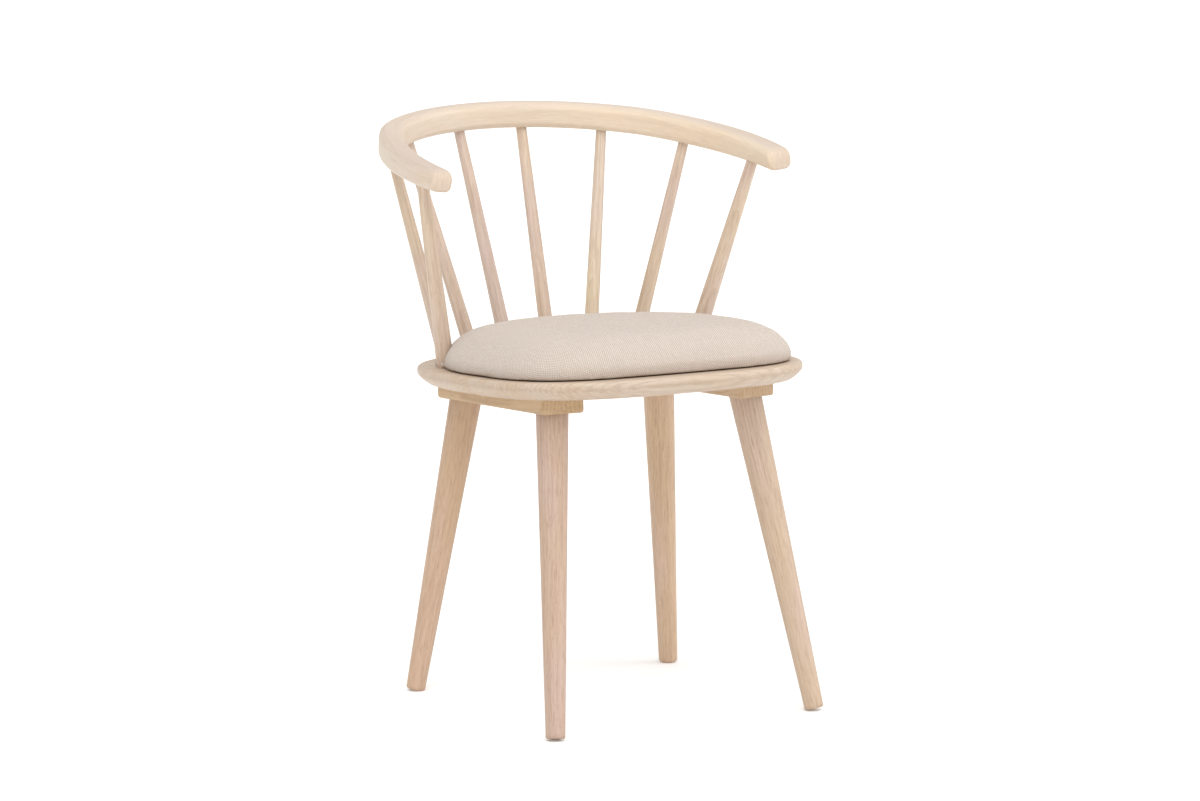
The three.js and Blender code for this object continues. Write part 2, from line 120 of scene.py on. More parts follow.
CAMERA_PLACE = (-3.9005, -6.8245, 1.5974)
CAMERA_AZIMUTH = math.radians(-29.875)
CAMERA_ELEVATION = math.radians(8.764)
CAMERA_LENS = 180.75
CAMERA_SHIFT = (0.0012, 0.0027)

WORLD_LIGHT = 0.62
WORLD_SEEN = 1.2  # what the camera sees beyond the floor
FLOOR_GLOW = 0.12
SUNS = {  # direction to the light, strength and width in degrees
    "key": ((-0.65, -1.3, 1.65), 1.62, 50),
    "fill": ((1.6, -0.8, 0.9), 0.72, 40),
    "top": ((0.2, 0.5, 2.0), 0.9, 100),
}

# ---------------------------------------------------------------- tone shifts

# Shares of red, green and blue by which a piece's wood is lighter or darker than its kind: partly the wood's
# own tone and partly painted light and shade, set to even out how this scene's lamps light each piece. They
# were set by comparing mean colours with the photograph, in its one view. Whether the real wood varies so
# isn't known.
TONE_AND_LIGHT_SHIFTS = {
    "leg_front_right": (-0.035, -0.03, 0.035),
    "leg_back_right": (0.01, -0.02, -0.08),
    "leg_front_left": (0.025, 0.08, 0.12),
    "leg_back_left": (0.12, 0.13, 0.09),
    "seat_plate": (-0.05, -0.06, -0.09),
    "leg_cleat_right": (-0.02, -0.05, -0.12),
    "spindle_back_right": (-0.065, -0.065, 0.01),
    "spindle_outer_left": (0.10, 0.15, 0.13),
}

# The rail's painted light and shade, by where its surface lies and faces: painted shade on top and on the
# arms, painted light inside the left arm only.
RAIL_PAINTED_LIGHT = {
    "top": np.array((-0.14, -0.14, -0.11)),
    "arms": np.array((-0.065, -0.07, -0.06)),
    "inside_left": np.array((0.08, 0.065, 0.01)),
}
RAIL_SHIFT_BLEND = 0.15  # metres over which the shifts of the arms come in
RAIL_INSIDE_STEEPNESS = 1.5  # how soon the inside's shift is full, as the surface turns inwards

# ---------------------------------------------------------------- mesh helpers


def new_object(name, mesh):
    made = bpy.data.objects.new(name, mesh)
    bpy.context.scene.collection.objects.link(made)
    return made


def mesh_object(name, points, faces):
    mesh = bpy.data.meshes.new(name)
    mesh.from_pydata([tuple(p) for p in points], [], [tuple(f) for f in faces])
    mesh.update()
    return new_object(name, mesh)


def loft_faces(rings, count):
    """Quads between rings of equal length, with one flat face over each end. Rings run anticlockwise
    as seen from the last ring."""
    last = (rings - 1) * count
    faces = []
    for ring in range(rings - 1):
        for i in range(count):
            a = ring * count + i
            b = ring * count + (i + 1) % count
            faces.append((a, b, b + count, a + count))
    faces.append(tuple(reversed(range(count))))
    faces.append(tuple(range(last, last + count)))
    return faces


def points_of(made):
    co = np.zeros(len(made.data.vertices) * 3, np.float32)
    made.data.vertices.foreach_get("co", co)
    return co.reshape(-1, 3).astype(float)


def normals_of(made):
    normals = np.empty(3 * len(made.data.vertices))
    made.data.vertices.foreach_get("normal", normals)
    return normals.reshape(-1, 3)


def set_points(made, points):
    made.data.vertices.foreach_set("co", np.asarray(points, np.float32).ravel())
    made.data.update()


def store_vector(made, name, values):
    attribute = made.data.attributes.new(name, "FLOAT_VECTOR", "POINT")
    attribute.data.foreach_set("vector", np.asarray(values, np.float32).ravel())


def store_value(made, name, values):
    attribute = made.data.attributes.new(name, "FLOAT", "POINT")
    attribute.data.foreach_set("value", np.asarray(values, np.float32))


def smooth(made, sharp_angle=35):
    """Smooth shading that keeps sharp corners sharp and flat faces flat."""
    made.data.polygons.foreach_set("use_smooth", [True] * len(made.data.polygons))
    made.data.set_sharp_from_angle(angle=math.radians(sharp_angle))
    weighted = made.modifiers.new("weighted", "WEIGHTED_NORMAL")
    weighted.keep_sharp = True


def bake_modifiers(made):
    """Turns the object's mesh into what its modifiers make of it."""
    graph = bpy.context.evaluated_depsgraph_get()
    made_mesh = bpy.data.meshes.new_from_object(made.evaluated_get(graph), depsgraph=graph)
    made.modifiers.clear()
    made.data = made_mesh


def cut(made, cutters):
    """Cuts the cutters out of a solid, and deletes them."""
    for i, cutter in enumerate(cutters):
        modifier = made.modifiers.new(f"cut{i}", "BOOLEAN")
        modifier.operation = "DIFFERENCE"
        modifier.solver = "EXACT"
        modifier.object = cutter
    bpy.context.view_layer.update()
    bake_modifiers(made)
    for cutter in cutters:
        bpy.data.objects.remove(cutter)


def finish_piece(made, material, slot, *nodes):
    """Gives a piece its material, its tone shift if it has none yet, partly the wood's own tone and partly
    painted light and shade, and its place in the frame.
    """
    if "tone_and_light_shift" not in made.data.attributes:
        shift = TONE_AND_LIGHT_SHIFTS.get(nodes[0], (0, 0, 0))
        store_vector(made, "tone_and_light_shift", np.tile(shift, (len(made.data.vertices), 1)))
    made.data.materials.clear()
    made.data.materials.append(material)
    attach(made, "root")
    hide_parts(*nodes)


# ---------------------------------------------------------------- shapes

SEAT = Matrix.Translation(SEAT_ORIGIN) @ Matrix.Rotation(-SEAT_LEAN, 4, "X")
SEAT_TURN = np.array(SEAT.to_3x3())
SEAT_MOVE = np.array(SEAT.to_translation())


def from_seat(points):
    """Points in the seat's own frame, whose +Z is square to the seat, as points in the shared frame."""
    return np.asarray(points, float) @ SEAT_TURN.T + SEAT_MOVE


def to_seat(points):
    return (np.asarray(points, float) - SEAT_MOVE) @ SEAT_TURN


def signed_power(value, power):
    return np.sign(value) * np.abs(value) ** power


def outline_reach(shape, angle):
    """Distance from the middle of the widest line to a D-shaped outline, in the direction of an angle."""
    across, along = np.cos(angle), np.sin(angle)
    depth = np.where(along < 0, shape["front"], shape["back"])
    power = np.where(along < 0, shape["front_power"], shape["back_power"])
    total = np.abs(across / shape["half_width"]) ** power + np.abs(along / depth) ** power
    return 1 / total ** (1 / power)


def outline_ring(shape, count, height, inset=0.0, scale=1.0):
    angle = np.arange(count) * 2 * np.pi / count
    across, along = np.cos(angle), np.sin(angle)
    depth = np.where(along < 0, shape["front"], shape["back"])
    power = np.where(along < 0, shape["front_power"], shape["back_power"])
    reach = outline_reach(shape, angle) * scale
    normal = np.stack([signed_power(across / shape["half_width"], power - 1) / shape["half_width"],
                       signed_power(along / depth, power - 1) / depth], axis=1)
    normal /= np.linalg.norm(normal, axis=1)[:, None]
    x = across * reach - normal[:, 0] * inset
    y = shape["widest_at"] + along * reach - normal[:, 1] * inset
    return np.stack([x, y, np.full(count, height)], axis=1)


def rail_plan(distance):
    """Point and heading of the rail's centre line at a distance from the middle of the back."""
    left, heading, x, y = abs(distance), 0.0, 0.0, RAIL_BACK_Y
    for radius, angle in RAIL_ARCS:
        turn = min(left / radius, angle)
        x += radius * (math.sin(heading + turn) - math.sin(heading))
        y += radius * (math.cos(heading + turn) - math.cos(heading))
        heading += turn
        left -= turn * radius
        if left <= 0:
            break
    side = -1 if distance < 0 else 1
    return side * x, y, side * heading


def rail_point(x, y):
    return Vector((x, y, RAIL_HEIGHT + RAIL_SLOPE * y))


def rounded_in(radius, from_end):
    rest = max(radius - from_end, 0.0)
    return radius - math.sqrt(radius * radius - rest * rest)


def axis_frame(start, direction):
    """Rotation that takes +Z to a direction, and the start, as a matrix."""
    turn = Vector((0, 0, 1)).rotation_difference(direction)
    return Matrix.Translation(start) @ turn.to_matrix().to_4x4()


def moved(points, matrix):
    turn = np.array(matrix.to_3x3())
    return np.asarray(points, float) @ turn.T + np.array(matrix.to_translation())


def turned_points(profile, sides):
    """Rings of a turned shape about +Z, from a profile of (radius, height) pairs."""
    angle = np.arange(sides) * 2 * np.pi / sides
    rings = [np.stack([r * np.cos(angle), r * np.sin(angle), np.full(sides, h)], axis=1) for r, h in profile]
    return np.concatenate(rings)


def round_edge(radius, height, corner, steps, upwards):
    """Profile points of a quarter round between a flat end and the side of a turned shape."""
    points = []
    for i in range(steps + 1):
        angle = math.pi / 2 * i / steps
        rise = corner * (1 - math.cos(angle))
        points.append((radius - corner * (1 - math.sin(angle)), height + rise if upwards else height - rise))
    return points


# ---------------------------------------------------------------- material nodes


class Shader:
    """One node material, with short calls to add and link its nodes."""

    def __init__(self, name):
        self.material = bpy.data.materials.new(name)
        self.material.use_nodes = True
        self.tree = self.material.node_tree
        self.bsdf = self.tree.nodes["Principled BSDF"]

    def feed(self, socket, value):
        if isinstance(value, bpy.types.NodeSocket):
            self.tree.links.new(value, socket)
        else:
            socket.default_value = value

    def node(self, kind, inputs=(), **settings):
        made = self.tree.nodes.new("ShaderNode" + kind)
        for key, value in settings.items():
            setattr(made, key, value)
        for key, value in dict(inputs).items():
            self.feed(made.inputs[key], value)
        return made

    def math(self, operation, a, b=0.0):
        return self.node("Math", {0: a, 1: b}, operation=operation).outputs[0]

    def vector(self, operation, a, b):
        return self.node("VectorMath", {0: a, 1: b}, operation=operation).outputs[0]

    def combine(self, x, y, z):
        return self.node("CombineXYZ", {0: x, 1: y, 2: z}).outputs[0]

    def attribute(self, name, output="Vector"):
        return self.node("Attribute", attribute_name=name).outputs[output]

    def noise(self, vector, scale=1.0, detail=3.0, roughness=0.5):
        inputs = {"Vector": vector, "Scale": scale, "Detail": detail, "Roughness": roughness}
        return self.node("TexNoise", inputs).outputs["Fac"]

    def spread(self, value, low, high, to_low=0.0, to_high=1.0):
        inputs = {"Value": value, "From Min": low, "From Max": high, "To Min": to_low, "To Max": to_high}
        return self.node("MapRange", inputs, interpolation_type="SMOOTHSTEP").outputs[0]

    def mix(self, factor, a, b, blend="MIX"):
        inputs = {0: factor, 6: a, 7: b}
        return self.node("Mix", inputs, data_type="RGBA", blend_type=blend).outputs[2]

    def bump(self, height, distance, strength):
        return self.node("Bump", {"Height": height, "Distance": distance, "Strength": strength}).outputs[0]

    def set(self, **inputs):
        for key, value in inputs.items():
            self.feed(self.bsdf.inputs[key.replace("_", " ")], value)


def colour(red, green, blue):
    return (red, green, blue, 1.0)


def wood_material(name, pale, warm, dark, figure, streak, pores, staves=0.0):
    """Pale hardwood. The grain attribute holds metres along, across and through the grain. The edge
    attribute darkens edges and end grain, and the tone shift attribute shifts red, green and blue: partly the
    wood's own tone, partly painted light and shade."""
    shader = Shader(name)
    grain = shader.attribute("grain")
    stave_line = None
    if staves:
        parts = shader.node("SeparateXYZ", {0: grain})
        place = shader.math("ADD", shader.math("DIVIDE", parts.outputs[1], staves), 0.37)
        stave = shader.math("FLOOR", place)
        jump = [shader.math("MULTIPLY", stave, step) for step in (0.731, 0.219, 0.117)]
        grain = shader.vector("ADD", grain, shader.combine(*jump))
        within = shader.math("ABSOLUTE", shader.math("SUBTRACT", shader.math("FRACT", place), 0.5))
        stave_line = shader.spread(within, 0.4965, 0.4995)

    def grain_noise(vector, along, across, **settings):
        """Noise with so many cells per metre along the grain, and so many across it."""
        return shader.noise(shader.vector("MULTIPLY", vector, (along, across, across)), **settings)

    drift = grain_noise(grain, 5, 26, detail=2)
    wander = shader.math("MULTIPLY", shader.math("SUBTRACT", drift, 0.5), 0.016)
    swayed = shader.vector("ADD", grain, shader.combine(0.0, wander, wander))

    from_heart = shader.vector("ADD", swayed, (0, 0.031, 0.046))
    wave = {"Vector": shader.vector("MULTIPLY", from_heart, (0.35, 1, 1)), "Scale": 62.0,
            "Distortion": 2.2, "Detail": 2.0, "Detail Scale": 1.6}
    rings = shader.node("TexWave", wave, wave_type="RINGS", rings_direction="X", wave_profile="SAW")
    late = shader.spread(rings.outputs["Fac"], 0.35, 1.0)
    streaks = grain_noise(swayed, 5, 260, detail=5, roughness=0.6)
    fibres = grain_noise(swayed, 38, 1500, detail=2, roughness=0.6)
    flecks = grain_noise(swayed, 48, 640, detail=2)
    patches = grain_noise(grain, 6, 24, detail=3)
    pore_field = grain_noise(swayed, 150, 2300, detail=1)
    pore_zone = grain_noise(swayed, 12, 160, detail=2)
    pore = shader.math("MULTIPLY", shader.spread(pore_field, 0.66, 0.74),
                       shader.spread(pore_zone, 0.42, 0.62))

    tone = shader.mix(shader.spread(patches, 0.35, 0.68), pale, warm)
    tone = shader.mix(shader.math("MULTIPLY", shader.spread(streaks, 0.42, 0.72), streak), tone, dark)
    tone = shader.mix(shader.math("MULTIPLY", late, figure), tone, dark)
    tone = shader.mix(shader.math("MULTIPLY", shader.spread(flecks, 0.52, 0.74), 0.8 * pores), tone, dark)
    lift = shader.spread(fibres, 0.2, 0.8, 0.93, 1.06)
    tone = shader.mix(1.0, tone, shader.combine(lift, lift, lift), "MULTIPLY")
    deep = colour(dark[0] * 0.62, dark[1] * 0.52, dark[2] * 0.42)
    tone = shader.mix(shader.math("MULTIPLY", pore, pores), tone, deep)
    wear = shader.spread(streaks, 0.3, 0.6, 0.25, 0.6)
    tone = shader.mix(shader.math("MULTIPLY", shader.attribute("edge", "Fac"), wear), tone, dark)
    if stave_line is not None:
        tone = shader.mix(shader.math("MULTIPLY", stave_line, 0.45), tone, deep)
    # Tone shifts, partly the wood's own tone and partly painted light and shade.
    shift = shader.vector("ADD", shader.attribute("tone_and_light_shift"), (1, 1, 1))
    tone = shader.mix(1.0, tone, shift, "MULTIPLY")

    height = shader.math("SUBTRACT", shader.math("MULTIPLY", fibres, 0.35), pore)
    height = shader.math("ADD", height, shader.math("MULTIPLY", streaks, 0.4))
    roughness = shader.spread(fibres, 0.2, 0.8, 0.42, 0.54)
    roughness = shader.math("ADD", roughness, shader.math("MULTIPLY", pore, 0.15))
    shader.set(Base_Color=tone, Roughness=roughness, Normal=shader.bump(height, 0.00012, 0.6))
    shader.bsdf.inputs["Specular IOR Level"].default_value = 0.35
    return shader.material


def plywood_material():
    """Raw birch plywood: face grain above and below, thin layers at the edge."""
    shader = Shader("birch_plywood")
    place = shader.node("TexCoord").outputs["Object"]
    layers = shader.node("TexWave", {"Vector": place, "Scale": 210.0, "Distortion": 0.4},
                         wave_type="BANDS", bands_direction="Z").outputs["Fac"]
    grain = shader.noise(shader.vector("MULTIPLY", place, (14, 420, 420)), detail=4)
    tone = shader.mix(shader.spread(grain, 0.35, 0.7), colour(0.60, 0.43, 0.26), colour(0.47, 0.32, 0.18))
    layer = shader.math("MULTIPLY", shader.spread(layers, 0.5, 0.9), 0.35)
    tone = shader.mix(layer, tone, colour(0.33, 0.21, 0.12))
    shader.set(Base_Color=tone, Roughness=shader.spread(grain, 0.3, 0.7, 0.72, 0.86),
               Normal=shader.bump(grain, 0.0002, 0.6))
    return shader.material


def zinc_material():
    """Zinc plated steel with a soft mottle and fine turning marks."""
    shader = Shader("zinc_plated_steel")
    place = shader.node("TexCoord").outputs["Object"]
    mottle = shader.noise(place, scale=420, detail=4)
    scratches = shader.noise(shader.vector("MULTIPLY", place, (300, 300, 9000)), detail=2)
    tone = shader.mix(shader.spread(mottle, 0.35, 0.65), colour(0.42, 0.43, 0.44), colour(0.60, 0.60, 0.58))
    shader.set(Base_Color=tone, Roughness=shader.spread(mottle, 0.3, 0.7, 0.28, 0.44),
               Normal=shader.bump(scratches, 0.00004, 0.5))
    shader.bsdf.inputs["Metallic"].default_value = 1.0
    return shader.material


WEAVE_PITCH = 1.7 * MM  # one yarn


def fabric_material():
    """Beige linen-look cloth in a plain weave. The cloth attribute holds metres along the two yarn
    directions. The side attribute is 0 where the cover faces up and 1 where it is upright, and darkens it as
    painted shade on the cover's upright sides."""
    shader = Shader("beige_woven_cloth")
    cloth = shader.attribute("cloth")
    slub = shader.noise(shader.vector("MULTIPLY", cloth, (90, 90, 90)), detail=2)
    bend = shader.math("MULTIPLY", shader.math("SUBTRACT", slub, 0.5), 0.9 * WEAVE_PITCH)
    cloth = shader.vector("ADD", cloth, shader.combine(bend, bend, 0.0))
    parts = shader.node("SeparateXYZ", {0: cloth})
    along, across = [shader.math("DIVIDE", parts.outputs[i], WEAVE_PITCH) for i in (0, 1)]

    def yarn(value):
        """Rounded height over one yarn's width, from 0 at its edges to 1 along its middle."""
        return shader.math("ABSOLUTE", shader.math("SINE", shader.math("MULTIPLY", value, math.pi)))

    parity = shader.math("ADD", shader.math("FLOOR", along), shader.math("FLOOR", across))
    over = shader.math("GREATER_THAN", shader.math("MODULO", shader.math("ABSOLUTE", parity), 2.0), 0.5)
    warp, weft = yarn(along), yarn(across)
    warp_top = shader.math("MULTIPLY", warp, shader.math("ADD", shader.math("MULTIPLY", weft, 0.35), 0.65))
    weft_top = shader.math("MULTIPLY", weft, shader.math("ADD", shader.math("MULTIPLY", warp, 0.35), 0.65))
    height = shader.node("Mix", {0: over, 2: weft_top, 3: warp_top}, data_type="FLOAT").outputs[0]

    warp_tint = shader.noise(shader.vector("MULTIPLY", cloth, (1 / WEAVE_PITCH, 55, 1)), detail=2)
    weft_tint = shader.noise(shader.vector("MULTIPLY", cloth, (55, 1 / WEAVE_PITCH, 1)), detail=2)
    tint = shader.node("Mix", {0: over, 2: weft_tint, 3: warp_tint}, data_type="FLOAT").outputs[0]
    fuzz = shader.noise(cloth, scale=2600, detail=2)
    patches = shader.noise(cloth, scale=16, detail=3)

    tone = shader.mix(over, colour(0.51, 0.43, 0.365), colour(0.82, 0.75, 0.70))
    tone = shader.mix(shader.spread(tint, 0.3, 0.72, 0.0, 0.5), tone, colour(0.56, 0.48, 0.41))
    # Painted shade in the hollows of the weave: the lower the yarn's surface, the darker.
    tone = shader.mix(shader.spread(height, 0.0, 0.8, 0.8, 0.0), tone, colour(0.33, 0.25, 0.19))
    tone = shader.mix(shader.spread(patches, 0.3, 0.75, 0.0, 0.18), tone, colour(0.62, 0.52, 0.44))
    # Painted shade: the cover's upright sides are darker than its top.
    side = shader.spread(shader.attribute("side", "Fac"), 0.15, 1.0, 0.0, 0.16)
    tone = shader.mix(side, tone, colour(0.40, 0.31, 0.24))
    relief = shader.math("ADD", height, shader.math("MULTIPLY", fuzz, 0.35))
    shader.set(Base_Color=tone, Roughness=shader.spread(fuzz, 0.2, 0.8, 0.86, 0.98),
               Normal=shader.bump(relief, 0.00045, 0.75))
    shader.bsdf.inputs["Specular IOR Level"].default_value = 0.2
    shader.bsdf.inputs["Sheen Weight"].default_value = 0.15
    shader.bsdf.inputs["Sheen Roughness"].default_value = 0.5
    return shader.material


def floor_material():
    shader = Shader("studio_floor")
    mottle = shader.noise(shader.node("TexCoord").outputs["Object"], scale=3, detail=2)
    tone = shader.mix(mottle, colour(0.90, 0.90, 0.90), colour(0.92, 0.92, 0.92))
    shader.set(Base_Color=tone, Roughness=shader.spread(mottle, 0.2, 0.8, 0.85, 0.95))
    shader.bsdf.inputs["Specular IOR Level"].default_value = 0.1
    shader.bsdf.inputs["Emission Color"].default_value = colour(1, 1, 1)
    shader.bsdf.inputs["Emission Strength"].default_value = FLOOR_GLOW
    return shader.material


MATERIALS = {
    "rail_wood": wood_material("rail_wood", colour(0.69, 0.585, 0.475), colour(0.68, 0.555, 0.43),
                               colour(0.53, 0.40, 0.30), figure=0.12, streak=0.22, pores=0.25),
    "spindle_wood": wood_material("spindle_wood", colour(0.61, 0.485, 0.41), colour(0.63, 0.50, 0.37),
                                  colour(0.40, 0.28, 0.20), figure=0.25, streak=0.50, pores=0.5),
    "seat_wood": wood_material("seat_wood", colour(0.60, 0.50, 0.41), colour(0.58, 0.45, 0.34),
                               colour(0.41, 0.29, 0.21), figure=0.30, streak=0.40, pores=0.45,
                               staves=72 * MM),
    "leg_wood": wood_material("leg_wood", colour(0.54, 0.39, 0.30), colour(0.53, 0.38, 0.26),
                              colour(0.35, 0.225, 0.145), figure=0.18, streak=0.36, pores=0.7),
    "cleat_wood": wood_material("cleat_wood", colour(0.60, 0.44, 0.285), colour(0.55, 0.39, 0.24),
                                colour(0.37, 0.235, 0.125), figure=0.35, streak=0.45, pores=0.6),
    "seat_fabric": fabric_material(),
    "board_wood": plywood_material(),
    "zinc_steel": zinc_material(),
}

# ---------------------------------------------------------------- the bow rail

RAIL_STEPS = 180
RAIL_CORNER_STEPS = 12
RAIL_END_RINGS = 14
RAIL_CAP_RINGS = 5
RAIL_END_GRAIN = 10 * MM


def rail_section(distance):
    """Outward and upward offsets of the section's points: a rounded square, smaller near the arms' ends."""
    from_end = RAIL_HALF_LENGTH - abs(distance)
    half_height = RAIL_HALF_HEIGHT * (1 - RAIL_TIP_THINNING * (distance / RAIL_HALF_LENGTH) ** 4)
    drawn = {side: rounded_in(radius, from_end) for side, radius in RAIL_END_ROUND.items()}
    outer, inner = RAIL_HALF_WIDTH - drawn["outer"], RAIL_HALF_WIDTH - drawn["inner"]
    top, bottom = half_height - drawn["top"], half_height - drawn["bottom"]
    corners = RAIL_CORNERS["top"] + RAIL_CORNERS["bottom"]
    fit = min(1, 0.45 * (outer + inner) / RAIL_CORNERS["top"], 0.9 * (top + bottom) / corners)
    high, low = RAIL_CORNERS["top"] * fit, RAIL_CORNERS["bottom"] * fit
    middles = ((outer - high, top - high, high), (high - inner, top - high, high),
               (low - inner, low - bottom, low), (outer - low, low - bottom, low))
    points = []
    for quarter, (across, above, radius) in enumerate(middles):
        for i in range(RAIL_CORNER_STEPS + 1):
            angle = math.pi / 2 * (quarter + i / RAIL_CORNER_STEPS)
            points.append((across + radius * math.cos(angle), above + radius * math.sin(angle)))
    return np.array(points)


def rail_rings():
    """Section rings from the right arm's end round to the left arm's, with their grain and edge values."""
    longest = max(RAIL_END_ROUND.values())
    quarters = [math.pi / 2 * i / RAIL_END_RINGS for i in range(RAIL_END_RINGS)]
    ends = [longest * (1 - math.cos(quarter)) for quarter in quarters]
    plain = RAIL_HALF_LENGTH - longest
    distances = [e - RAIL_HALF_LENGTH for e in ends]
    distances += [plain * (2 * i / RAIL_STEPS - 1) for i in range(RAIL_STEPS + 1)]
    distances += [RAIL_HALF_LENGTH - e for e in reversed(ends)]
    normal = np.array([0, -RAIL_SLOPE, 1]) / math.hypot(RAIL_SLOPE, 1)
    shrinks = [(i + 1) / (RAIL_CAP_RINGS + 1) for i in range(RAIL_CAP_RINGS)]
    stations = [(distances[0], s) for s in shrinks] + [(d, 1.0) for d in distances]
    stations += [(distances[-1], s) for s in reversed(shrinks)]
    points, grain, edge = [], [], []
    for distance, shrink in stations:
        x, y, heading = rail_plan(distance)
        tangent = np.array([math.cos(heading), -math.sin(heading), -RAIL_SLOPE * math.sin(heading)])
        level = np.cross(normal, tangent / np.linalg.norm(tangent))
        change = min(1, abs(distance) / (RAIL_LEAN_SHARE * RAIL_HALF_LENGTH)) ** 2
        lean = RAIL_LEAN_BACK + (RAIL_LEAN_ARM - RAIL_LEAN_BACK) * change
        outward = level * math.cos(lean) - normal * math.sin(lean)
        upward = normal * math.cos(lean) + level * math.sin(lean)
        section = rail_section(distance)
        middle = (section.max(axis=0) + section.min(axis=0)) / 2
        section = middle + (section - middle) * shrink
        centre = np.array(rail_point(x, y))
        points.append(centre + np.outer(section[:, 0], outward) + np.outer(section[:, 1], upward))
        # Towards an end the figure is drawn out upwards, for end grain.
        near = max(1 - (RAIL_HALF_LENGTH - abs(distance)) / RAIL_END_GRAIN, 0)
        count = len(section)
        drawn_out = section[:, 1] * (1 - 0.8 * near)
        grain.append(np.stack([np.full(count, distance), section[:, 0], drawn_out], axis=1))
        edge.append(np.full(count, 0.55 * near))
    return np.array(points), np.concatenate(grain), np.concatenate(edge)


def rail_painted_light(made):
    """The rail's painted light and shade at each point. The inside of the left arm takes its own in place of
    the arms'.
    """
    points, normals = points_of(made), normals_of(made)
    top = np.clip(normals[:, 2], 0, 1) ** 2
    inside = np.clip(-RAIL_INSIDE_STEEPNESS * normals[:, 0], 0, 1)
    inside_left = inside * np.clip(points[:, 0] / RAIL_SHIFT_BLEND, 0, 1)
    arms = np.clip(1 - points[:, 1] / RAIL_SHIFT_BLEND, 0, 1) * (1 - inside_left)
    shares = {"top": top, "arms": arms, "inside_left": inside_left}
    return sum(share[:, None] * RAIL_PAINTED_LIGHT[place] for place, share in shares.items())


def make_rail():
    rings, grain, edge = rail_rings()
    made = mesh_object("rail", rings.reshape(-1, 3), loft_faces(len(rings), rings.shape[1]))
    store_vector(made, "grain", grain + np.array([1.7, 0.040, -0.040]))
    store_value(made, "edge", edge)
    smooth(made)
    # The rail's painted light and shade, stored as its tone shift.
    store_vector(made, "tone_and_light_shift", rail_painted_light(made))
    finish_piece(made, MATERIALS["rail_wood"], "rail_wood", "bow_rail")


# ---------------------------------------------------------------- spindles and legs

SPINDLE_CHAMFER = 1.5 * MM
STEM_RINGS = 24
LEG_SIDES = 64


def spindle_line(spindle, side):
    at_seat = SEAT @ Vector((side * spindle["seat"][0], spindle["seat"][1], 0))
    at_rail = rail_point(side * spindle["rail"][0], spindle["rail"][1])
    along = at_rail - at_seat
    return at_seat, along.normalized(), along.length


def spindle_solid(name, spindle, side, clearance=0.0, sides=40):
    """A plain taper from the bottom of its socket in the seat to the rail's mid-plane."""
    at_seat, direction, length = spindle_line(spindle, side)
    seat_radius, rail_radius = spindle["radius"]
    slope = (rail_radius - seat_radius) / length
    bottom, top = -SPINDLE_SEAT_DEPTH - clearance, length + clearance
    stem = np.linspace(0, length - 2 * MM, STEM_RINGS)
    heights = [bottom, bottom + SPINDLE_CHAMFER, *stem, top - SPINDLE_CHAMFER, top]
    chamfers = [SPINDLE_CHAMFER, *[0.0] * (len(heights) - 2), SPINDLE_CHAMFER]
    profile = [(seat_radius + slope * h + clearance - c, h) for h, c in zip(heights, chamfers)]
    local = turned_points(profile, sides)
    made = mesh_object(name, moved(local, axis_frame(at_seat, direction)), loft_faces(len(profile), sides))
    return made, local


def make_spindles():
    for hand, side in SIDES:
        for i, (place, spindle) in enumerate(SPINDLES.items()):
            name = f"spindle_{place}_{hand}"
            made, local = spindle_solid("wood_" + name, spindle, side)
            number = i + (4 if side > 0 else 0)
            start = np.array([0.61 * number, 0.013 * (number % 3) - 0.01, 0.009 * (number % 5)])
            store_vector(made, "grain", local[:, [2, 0, 1]] + start)
            store_value(made, "edge", np.zeros(len(local)))
            smooth(made)
            finish_piece(made, MATERIALS["spindle_wood"], "spindle_wood", name)


def leg_line(leg, side):
    """Foot, top and direction of a leg's axis. The foot's lowest rounded edge stands on the floor."""
    top = SEAT @ Vector((side * leg["top"][0], leg["top"][1], -SEAT_THICKNESS - CLEAT_THICKNESS))
    foot = Vector((side * leg["foot"][0], leg["foot"][1] + SEAT_ORIGIN.y, 0))
    lean = (top - foot).angle(Vector((0, 0, 1)))
    foot.z = (LEG_FOOT_RADIUS - LEG_FOOT_ROUND) * math.sin(lean) + LEG_FOOT_ROUND * (1 - math.cos(lean))
    return foot, top, (top - foot).normalized()


